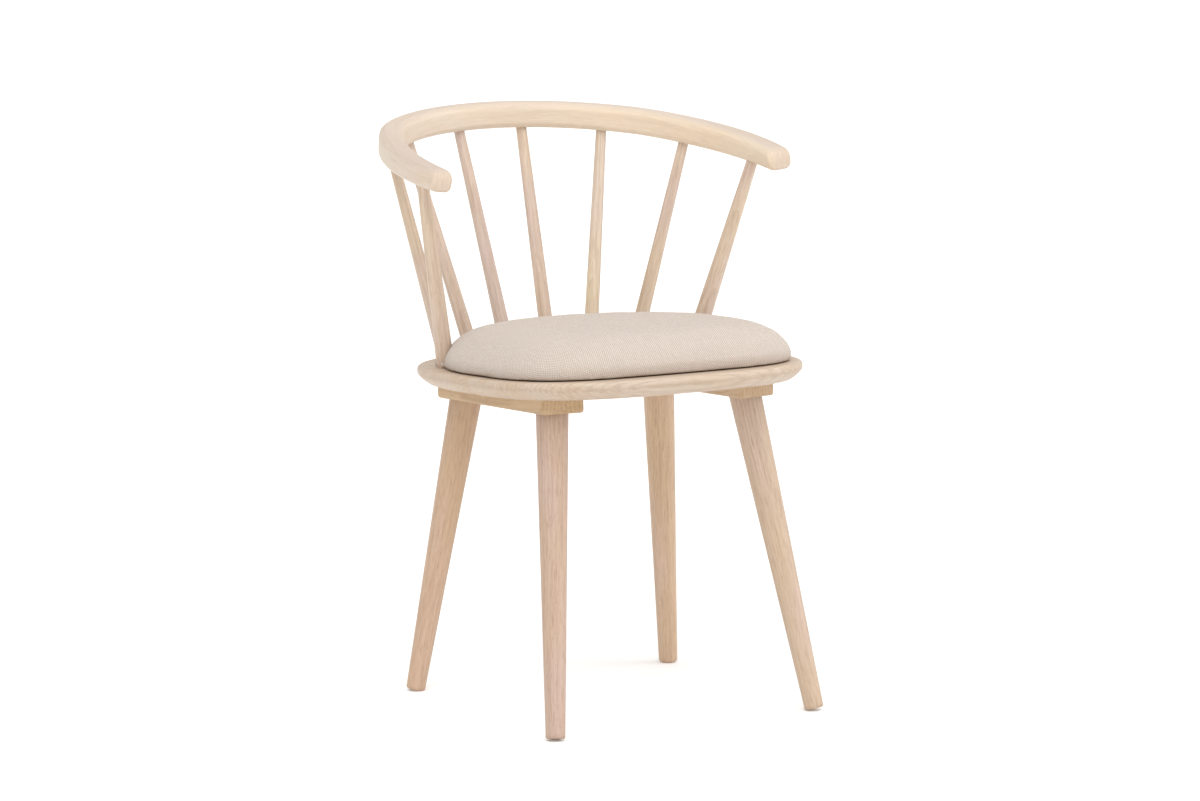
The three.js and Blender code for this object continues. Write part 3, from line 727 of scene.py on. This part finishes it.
def make_leg(place, hand, side, number):
    foot, top, direction = leg_line(LEGS[place], side)
    length = (top - foot).length
    slope = (LEG_TOP_RADIUS - LEG_FOOT_RADIUS) / length
    foot_edge = round_edge(LEG_FOOT_RADIUS, 0.0, LEG_FOOT_ROUND, 6, True)
    shrinks = [(foot_edge[0][0] * s, 0.0) for s in (0.3, 0.6, 0.9)]
    heights = np.linspace(LEG_FOOT_ROUND * 2, length * 0.93, STEM_RINGS)
    profile = [*shrinks, *foot_edge, *[(LEG_FOOT_RADIUS + slope * h, h) for h in heights]]
    local = turned_points(profile, LEG_SIDES)

    # The top ring lies on the plane of the cleat's underside.
    angle = np.arange(LEG_SIDES) * 2 * np.pi / LEG_SIDES
    circle = np.stack([np.cos(angle), np.sin(angle), np.zeros(LEG_SIDES)], axis=1)
    rays = circle * slope + np.array([0, 0, 1])
    starts = circle * LEG_FOOT_RADIUS
    place_matrix = axis_frame(foot, direction)
    to_local = place_matrix.inverted()
    plane_point = to_local @ (SEAT @ Vector((0, 0, -SEAT_THICKNESS - CLEAT_THICKNESS - GAP)))
    plane_normal = np.array(to_local.to_3x3() @ (SEAT.to_3x3() @ Vector((0, 0, 1))))
    reach = ((np.array(plane_point) - starts) @ plane_normal) / (rays @ plane_normal)
    top_ring = starts + rays * reach[:, None]
    local = np.concatenate([local, top_ring])
    rings = len(profile) + 1
    name = f"leg_{place}_{hand}"
    made = mesh_object("wood_" + name, moved(local, place_matrix), loft_faces(rings, LEG_SIDES))
    start = np.array([0.83 * number + 0.3, 0.021 * (number % 2) - 0.008, 0.012 * number])
    turn = 0.9 + 1.7 * number
    spun = local[:, :2] @ np.array([[math.cos(turn), -math.sin(turn)], [math.sin(turn), math.cos(turn)]])
    store_vector(made, "grain", np.column_stack([local[:, 2], spun]) + start)
    edge = np.zeros(len(local))
    first = len(shrinks)
    edge[first * LEG_SIDES:(first + len(foot_edge)) * LEG_SIDES] = 0.7
    edge[-LEG_SIDES:] = 0.4
    store_value(made, "edge", edge)
    smooth(made)
    finish_piece(made, MATERIALS["leg_wood"], "leg_wood", name)


def make_legs():
    number = 0
    for hand, side in SIDES:
        for place in LEGS:
            make_leg(place, hand, side, number)
            number += 1


# ---------------------------------------------------------------- seat board and cleats

SEAT_OUTLINE_POINTS = 288
SEAT_BEVEL_ROUND = 1.2 * MM
CUSHION_HOLE_PLAY = 1 * MM
CLEAT_CORNER = 5 * MM
CLEAT_HOLE_DEPTH = 3.5 * MM


def cylinder(name, radius, low, high, matrix, sides=40):
    points = moved(turned_points([(radius, low), (radius, high)], sides), matrix)
    return mesh_object(name, points, loft_faces(2, sides))


def make_seat():
    count = SEAT_OUTLINE_POINTS
    rings = [outline_ring(SEAT_SHAPE, count, -SEAT_THICKNESS, SEAT_BEVEL_WIDTH + SEAT_BEVEL_ROUND)]
    for share in (0.06, 0.28, 0.5, 0.72, 0.94):
        height = -SEAT_THICKNESS + SEAT_BEVEL_HEIGHT * share
        inset = SEAT_BEVEL_WIDTH * (1 - share) - SEAT_BEVEL_SWELL * 4 * share * (1 - share)
        rings.append(outline_ring(SEAT_SHAPE, count, height, inset))
    low = -SEAT_THICKNESS + SEAT_BEVEL_HEIGHT + 1.0 * MM
    for share in (0.0, 1.0):
        rings.append(outline_ring(SEAT_SHAPE, count, low + share * (-SEAT_TOP_ROUND - low)))
    for i in range(1, 9):
        angle = math.pi / 2 * i / 8
        inset = SEAT_TOP_ROUND * (1 - math.cos(angle))
        rings.append(outline_ring(SEAT_SHAPE, count, SEAT_TOP_ROUND * (math.sin(angle) - 1), inset))
    points = from_seat(np.concatenate(rings))
    made = mesh_object("wood_seat_plate", points, loft_faces(len(rings), count))
    cutters = []
    for _, side in SIDES:
        for spindle in SPINDLES.values():
            cutters.append(spindle_solid("cut", spindle, side, GAP)[0])
        for x, y in SCREWS["cushion"]["places"].values():
            middle = SEAT @ Matrix.Translation((side * x, y, -SEAT_THICKNESS))
            radius, depth = SCREWS["cushion"]["head"] + CUSHION_HOLE_PLAY, SCREWS["cushion"]["recess"]
            cutters.append(cylinder("cut", radius, -depth, depth, middle))
    cut(made, cutters)
    local = to_seat(points_of(made))
    store_vector(made, "grain", local + np.array([0.45, 0.0, 0.017]))

    # Worn wood along the bevel's upper and lower edges.
    above = np.abs(local[:, 2] + SEAT_THICKNESS - SEAT_BEVEL_HEIGHT) < 2.1 * MM
    below = np.abs(local[:, 2] + SEAT_THICKNESS - 1 * MM) < 0.6 * MM
    store_value(made, "edge", 0.5 * above + 0.6 * below)
    smooth(made, 40)
    finish_piece(made, MATERIALS["seat_wood"], "seat_wood", "seat_plate")


def cleat_outline(side, inset):
    """A cleat seen from above: four rounded corners, moved inwards by inset."""
    corner, steps = CLEAT_CORNER, 6
    inner, outer = CLEAT_MIDDLE - CLEAT_WIDTH / 2, CLEAT_MIDDLE + CLEAT_WIDTH / 2
    slant = (CLEAT_FRONT_OUTER - CLEAT_FRONT_INNER) / CLEAT_WIDTH
    lean = math.atan(slant)
    front = corner / math.cos(lean)
    corners = [
        (inner + corner, CLEAT_FRONT_INNER + slant * corner + front),
        (outer - corner, CLEAT_FRONT_OUTER - slant * corner + front),
        (outer - corner, CLEAT_BACK - corner),
        (inner + corner, CLEAT_BACK - corner),
    ]
    quarter = math.pi / 2
    turns = [(-math.pi, lean - quarter), (lean - quarter, 0), (0, quarter), (quarter, math.pi)]
    points = []
    for (x, y), (first, last) in zip(corners, turns):
        for i in range(steps + 1):
            angle = first + (last - first) * i / steps
            points.append((x + (corner - inset) * math.cos(angle), y + (corner - inset) * math.sin(angle)))
    points = np.array(points)
    if side < 0:
        points = points[::-1] * np.array([-1, 1])
    return points


def make_cleat(hand, side):
    bottom, top = -SEAT_THICKNESS - CLEAT_THICKNESS, -SEAT_THICKNESS - GAP
    levels = []
    for i in range(7):
        angle = math.pi / 2 * i / 6
        rise, inset = CLEAT_ROUND * (1 - math.cos(angle)), CLEAT_ROUND * (1 - math.sin(angle))
        levels.append((bottom + rise, inset))
    levels += [(bottom + CLEAT_ROUND * 1.6, 0.0), (top - 0.6 * MM, 0.0), (top, 0.4 * MM)]
    rings = []
    for height, inset in levels:
        flat = cleat_outline(side, inset)
        rings.append(np.column_stack([flat, np.full(len(flat), height)]))
    count = len(rings[0])
    points = from_seat(np.concatenate(rings))
    made = mesh_object(f"wood_leg_cleat_{hand}", points, loft_faces(len(rings), count))
    cutters = []
    for y in SCREWS["cleat"]["places"]:
        middle = SEAT @ Matrix.Translation((side * CLEAT_MIDDLE, y, bottom))
        cutters.append(cylinder("cut", SCREWS["cleat"]["head"] + GAP, -5 * MM, CLEAT_HOLE_DEPTH, middle))
    cut(made, cutters)
    local = to_seat(points_of(made))
    start = np.array([0.9 + 0.7 * side, 0.03, 0.008])
    store_vector(made, "grain", local[:, [1, 0, 2]] * np.array([1, side, 1]) + start)
    low_edge = np.clip(1 - np.abs(local[:, 2] - bottom - 1.5 * MM) / (3 * MM), 0, 1)
    inside = np.abs(local[:, 0] * side - CLEAT_MIDDLE) < CLEAT_WIDTH / 2 - 6 * MM
    inside &= (local[:, 1] > CLEAT_FRONT_OUTER + 8 * MM) & (local[:, 1] < CLEAT_BACK - 6 * MM)
    store_value(made, "edge", np.where(inside, 0.0, low_edge))
    smooth(made, 40)
    finish_piece(made, MATERIALS["cleat_wood"], "cleat_wood", f"leg_cleat_{hand}")


# ---------------------------------------------------------------- the seat pad

PAD_VOXEL = 4.5 * MM
PAD_SPREAD = 1 * MM  # added to the form's outline before the simulation
PAD_SETTLE = 0.8 * MM  # taken off the form's height before the simulation
PAD_TRAVEL_LIMIT = 7 * MM
PAD_TRAVEL_KEPT = 0.2  # share of the simulated travel that is kept
PAD_SPINDLE_GAP = 1.2 * MM
PAD_SPINDLE_REACH = 5 * MM  # how far beyond the gap the pad still gives way
PAD_RIM_WIDTH = 14 * MM
PAD_RIM_LIFT = 1.6 * MM
PAD_FRAMES = 20


def pad_profile():
    """(height, inset, scale) of the rings from the tucked lower edge to the crown."""
    levels = [(GAP, PAD_TUCK + PAD_RIM_WIDTH * share, 1.0) for share in (1.2, 0.9, 0.6, 0.3)]
    for i in range(7):
        angle = math.pi / 2 * i / 6
        levels.append((GAP + PAD_TUCK_HEIGHT * (1 - math.cos(angle)), PAD_TUCK * (1 - math.sin(angle)), 1.0))
    base = GAP + PAD_TUCK_HEIGHT
    for i in range(1, 30):
        angle = math.pi / 2 * i / 30
        scale = math.cos(angle) ** 0.8
        rise = (1 - scale ** PAD_SHOULDER_POWER) ** (1 / PAD_CROWN_POWER)
        levels.append((base + (PAD_HEIGHT - base) * rise, 0.0, scale))
    return levels


def clear_of_spindles(local):
    """Pushes points of the pad out of the space of the spindles, as foam gives way."""
    world = from_seat(local)
    for _, side in SIDES:
        for spindle in SPINDLES.values():
            at_seat, direction, length = spindle_line(spindle, side)
            start, along = np.array(at_seat), np.array(direction)
            offset = world - start
            height = offset @ along
            away = offset - np.outer(height, along)
            distance = np.linalg.norm(away, axis=1)
            seat_radius, rail_radius = spindle["radius"]
            radius = seat_radius + (rail_radius - seat_radius) * height / length + PAD_SPINDLE_GAP
            reach = radius + PAD_SPINDLE_REACH
            near = distance < reach
            wanted = radius[near] + PAD_SPINDLE_REACH * (distance[near] / reach[near]) ** 2
            push = np.maximum(wanted - distance[near], 0)
            world[near] += away[near] / np.maximum(distance[near], 1e-6)[:, None] * push[:, None]
    return to_seat(world)


def simulate_pad(made):
    """Runs Cloth with pressure inside the pad, and keeps a small, capped share of how far its points travel,
    so that the modelled form stays. Points close to the seat are held."""
    before = points_of(made)
    cloth = made.modifiers.new("cloth", "CLOTH")
    settings = cloth.settings
    settings.quality = 6
    settings.mass = 0.25
    settings.tension_stiffness = 18
    settings.compression_stiffness = 12
    settings.shear_stiffness = 6
    settings.bending_stiffness = 0.4
    settings.use_pressure = True
    settings.uniform_pressure_force = 4
    settings.effector_weights.gravity = 0
    held = made.vertex_groups.new(name="held")
    low = np.nonzero(to_seat(before)[:, 2] < 2.5 * MM)[0]
    held.add([int(i) for i in low], 1.0, "REPLACE")
    settings.vertex_group_mass = "held"
    for step in range(1, PAD_FRAMES + 1):
        bpy.context.scene.frame_set(step)
    bake_modifiers(made)
    made.vertex_groups.clear()
    bpy.context.scene.frame_set(1)
    after = points_of(made)
    travel = after - before
    size = np.linalg.norm(travel, axis=1)
    travel *= np.minimum(1.0, PAD_TRAVEL_LIMIT / np.maximum(size, 1e-9))[:, None]
    set_points(made, before + travel * PAD_TRAVEL_KEPT)


def pad_arc_length(local):
    """Distance over the pad's surface from its crown to each point, along a line straight outwards."""
    x, y = local[:, 0], local[:, 1] - PAD_SHAPE["widest_at"]
    reach = outline_reach(PAD_SHAPE, np.arctan2(y, x))
    share = np.clip(np.hypot(x, y) / reach, 0, 1)
    base = GAP + PAD_TUCK_HEIGHT
    steps = 80
    total = np.zeros(len(local))
    last_r = np.zeros(len(local))
    last_z = np.full(len(local), PAD_HEIGHT)
    for i in range(1, steps + 1):
        part = share * (1 - (1 - i / steps) ** 2)
        r = part * reach
        rise = np.maximum(1 - part ** PAD_SHOULDER_POWER, 0) ** (1 / PAD_CROWN_POWER)
        z = base + (PAD_HEIGHT - base) * rise
        total += np.hypot(r - last_r, z - last_z)
        last_r, last_z = r, z
    return total + np.maximum(last_z - local[:, 2], 0) * (share > 0.9)


def lift_rim(local):
    """Raises the pad's lower edge a little, so that a narrow gap shows between it and the seat."""
    x, y = local[:, 0], local[:, 1] - PAD_SHAPE["widest_at"]
    from_outline = outline_reach(PAD_SHAPE, np.arctan2(y, x)) - np.hypot(x, y)
    rim = np.clip((PAD_RIM_WIDTH - from_outline) / (0.3 * PAD_RIM_WIDTH), 0, 1)
    local[:, 2] = np.maximum(local[:, 2], GAP + PAD_RIM_LIFT * rim)
    return local


def make_pad():
    count = 160
    levels = pad_profile()
    rings = [outline_ring(PAD_SHAPE, count, h, inset, scale) for h, inset, scale in levels]
    made = mesh_object("cushion", from_seat(np.concatenate(rings)), loft_faces(len(rings), count))
    local = to_seat(points_of(made))
    middle = np.array([0, PAD_SHAPE["widest_at"], 0])
    outward = local - middle
    spread = 1 + PAD_SPREAD / np.maximum(np.hypot(outward[:, 0], outward[:, 1]), 0.05)
    local[:, 0] *= spread
    local[:, 1] = middle[1] + outward[:, 1] * spread
    local[:, 2] *= 1 - PAD_SETTLE / PAD_HEIGHT
    set_points(made, from_seat(local))
    remesh = made.modifiers.new("remesh", "REMESH")
    remesh.mode = "VOXEL"
    remesh.voxel_size = PAD_VOXEL
    bake_modifiers(made)
    simulate_pad(made)
    subdivide = made.modifiers.new("subdivide", "SUBSURF")
    subdivide.levels = 1
    subdivide.render_levels = 1
    bake_modifiers(made)
    local = clear_of_spindles(to_seat(points_of(made)))
    local = lift_rim(local)
    set_points(made, from_seat(local))
    around = local[:, :2] - np.array([0, PAD_SHAPE["widest_at"]])
    length = pad_arc_length(local)
    flat = around / np.maximum(np.linalg.norm(around, axis=1), 1e-6)[:, None] * length[:, None]
    store_vector(made, "cloth", np.column_stack([flat, np.zeros(len(flat))]))
    # How upright the cover is at each point, for the painted shade on its sides.
    store_value(made, "side", 1 - np.clip((normals_of(made) @ SEAT_TURN)[:, 2], 0, 1))
    made.data.polygons.foreach_set("use_smooth", [True] * len(made.data.polygons))
    finish_piece(made, MATERIALS["seat_fabric"], "seat_fabric", "seat_cushion")


# ---------------------------------------------------------------- screws and carried-over nodes


def make_screw(name, kind, x, y, face):
    """A countersunk wood screw with a cross recess, its head's face pointing down."""
    screw = SCREWS[kind]
    head, shank, length = screw["head"], screw["shank"], screw["length"]
    profile = [(head, 0.0), (head, 0.5 * MM), (shank, 0.6 * MM + head - shank)]
    turns = 9
    for i in range(turns):
        low = 9 * MM + i * (length - 13 * MM) / turns
        profile += [(shank * 0.82, low), (shank, low + 0.9 * MM), (shank * 0.82, low + 1.8 * MM)]
    profile += [(shank * 0.7, length - 3 * MM), (0.2 * MM, length)]
    sides = 32
    matrix = SEAT @ Matrix.Translation((x, y, face))
    made = mesh_object("steel_" + name, moved(turned_points(profile, sides), matrix),
                       loft_faces(len(profile), sides))
    slots = []
    for turn in (0, math.pi / 2):
        half, deep, wide = 0.55 * head, 1.6 * MM, 0.45 * MM
        box = np.array([(sx * half, sy * wide, z) for z in (-1 * MM, deep) for sx, sy in
                        ((-1, -1), (1, -1), (1, 1), (-1, 1))])
        spin = matrix @ Matrix.Rotation(turn, 4, "Z")
        slots.append(mesh_object("cut", moved(box, spin), loft_faces(2, 4)))
    cut(made, slots)
    smooth(made, 30)
    finish_piece(made, MATERIALS["zinc_steel"], "zinc_steel", name)


def make_screws():
    for hand, side in SIDES:
        for i, y in enumerate(SCREWS["cleat"]["places"]):
            face = -SEAT_THICKNESS - CLEAT_THICKNESS + SCREWS["cleat"]["recess"]
            make_screw(f"cleat_screw_{hand}_{i + 1}", "cleat", side * CLEAT_MIDDLE, y, face)
        for place, (x, y) in SCREWS["cushion"]["places"].items():
            face = -SEAT_THICKNESS + SCREWS["cushion"]["recess"]
            make_screw(f"cushion_screw_{place}_{hand}", "cushion", side * x, y, face)


def paint_carried_nodes():
    """The base board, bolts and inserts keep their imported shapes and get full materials."""
    slots = {row["node"]: row["material_slot"] for row in frame["record"]["subparts"]}
    for name, node in frame["nodes"].items():
        if node.hide_render:
            continue
        node.data.materials.clear()
        node.data.materials.append(MATERIALS[slots[name]])


# ---------------------------------------------------------------- studio


def make_studio():
    size = 30.0
    corners = [(-size, -size, 0), (size, -size, 0), (size, size, 0), (-size, size, 0)]
    floor = mesh_object("studio_floor", corners, [(0, 1, 2, 3)])
    floor.data.materials.append(floor_material())

    world = bpy.data.worlds.new("studio")
    bpy.context.scene.world = world
    world.use_nodes = True
    tree = world.node_tree
    background = tree.nodes["Background"]
    background.inputs["Color"].default_value = colour(1, 1, 1)
    background.inputs["Strength"].default_value = WORLD_LIGHT
    seen = tree.nodes.new("ShaderNodeBackground")
    seen.inputs["Color"].default_value = colour(1, 1, 1)
    seen.inputs["Strength"].default_value = WORLD_SEEN
    rays = tree.nodes.new("ShaderNodeLightPath")
    either = tree.nodes.new("ShaderNodeMixShader")
    tree.links.new(rays.outputs["Is Camera Ray"], either.inputs[0])
    tree.links.new(background.outputs[0], either.inputs[1])
    tree.links.new(seen.outputs[0], either.inputs[2])
    tree.links.new(either.outputs[0], tree.nodes["World Output"].inputs["Surface"])

    for name, (place, strength, width) in SUNS.items():
        light = bpy.data.lights.new(name, "SUN")
        light.energy = strength
        light.angle = math.radians(width)
        made = bpy.data.objects.new(name, light)
        made.rotation_mode = "QUATERNION"
        made.rotation_quaternion = Vector(place).to_track_quat("Z", "Y")
        bpy.context.scene.collection.objects.link(made)
    bpy.context.scene.view_settings.view_transform = "Standard"


def make_camera():
    data = bpy.data.cameras.new("camera")
    data.lens = CAMERA_LENS
    data.sensor_width = 36
    data.shift_x, data.shift_y = CAMERA_SHIFT
    data.clip_end = 100
    camera = bpy.data.objects.new("camera", data)
    bpy.context.scene.collection.objects.link(camera)
    a, e = CAMERA_AZIMUTH, CAMERA_ELEVATION
    back = Vector((math.sin(a) * math.cos(e), -math.cos(a) * math.cos(e), math.sin(e)))
    camera.location = CAMERA_PLACE
    camera.rotation_mode = "QUATERNION"
    camera.rotation_quaternion = (-back).to_track_quat("-Z", "Y")
    bpy.context.scene.camera = camera


# ---------------------------------------------------------------- assembly

make_camera()
make_studio()
make_rail()
make_spindles()
make_legs()
make_seat()
for hand, side in SIDES:
    make_cleat(hand, side)
make_screws()
make_pad()
paint_carried_nodes()
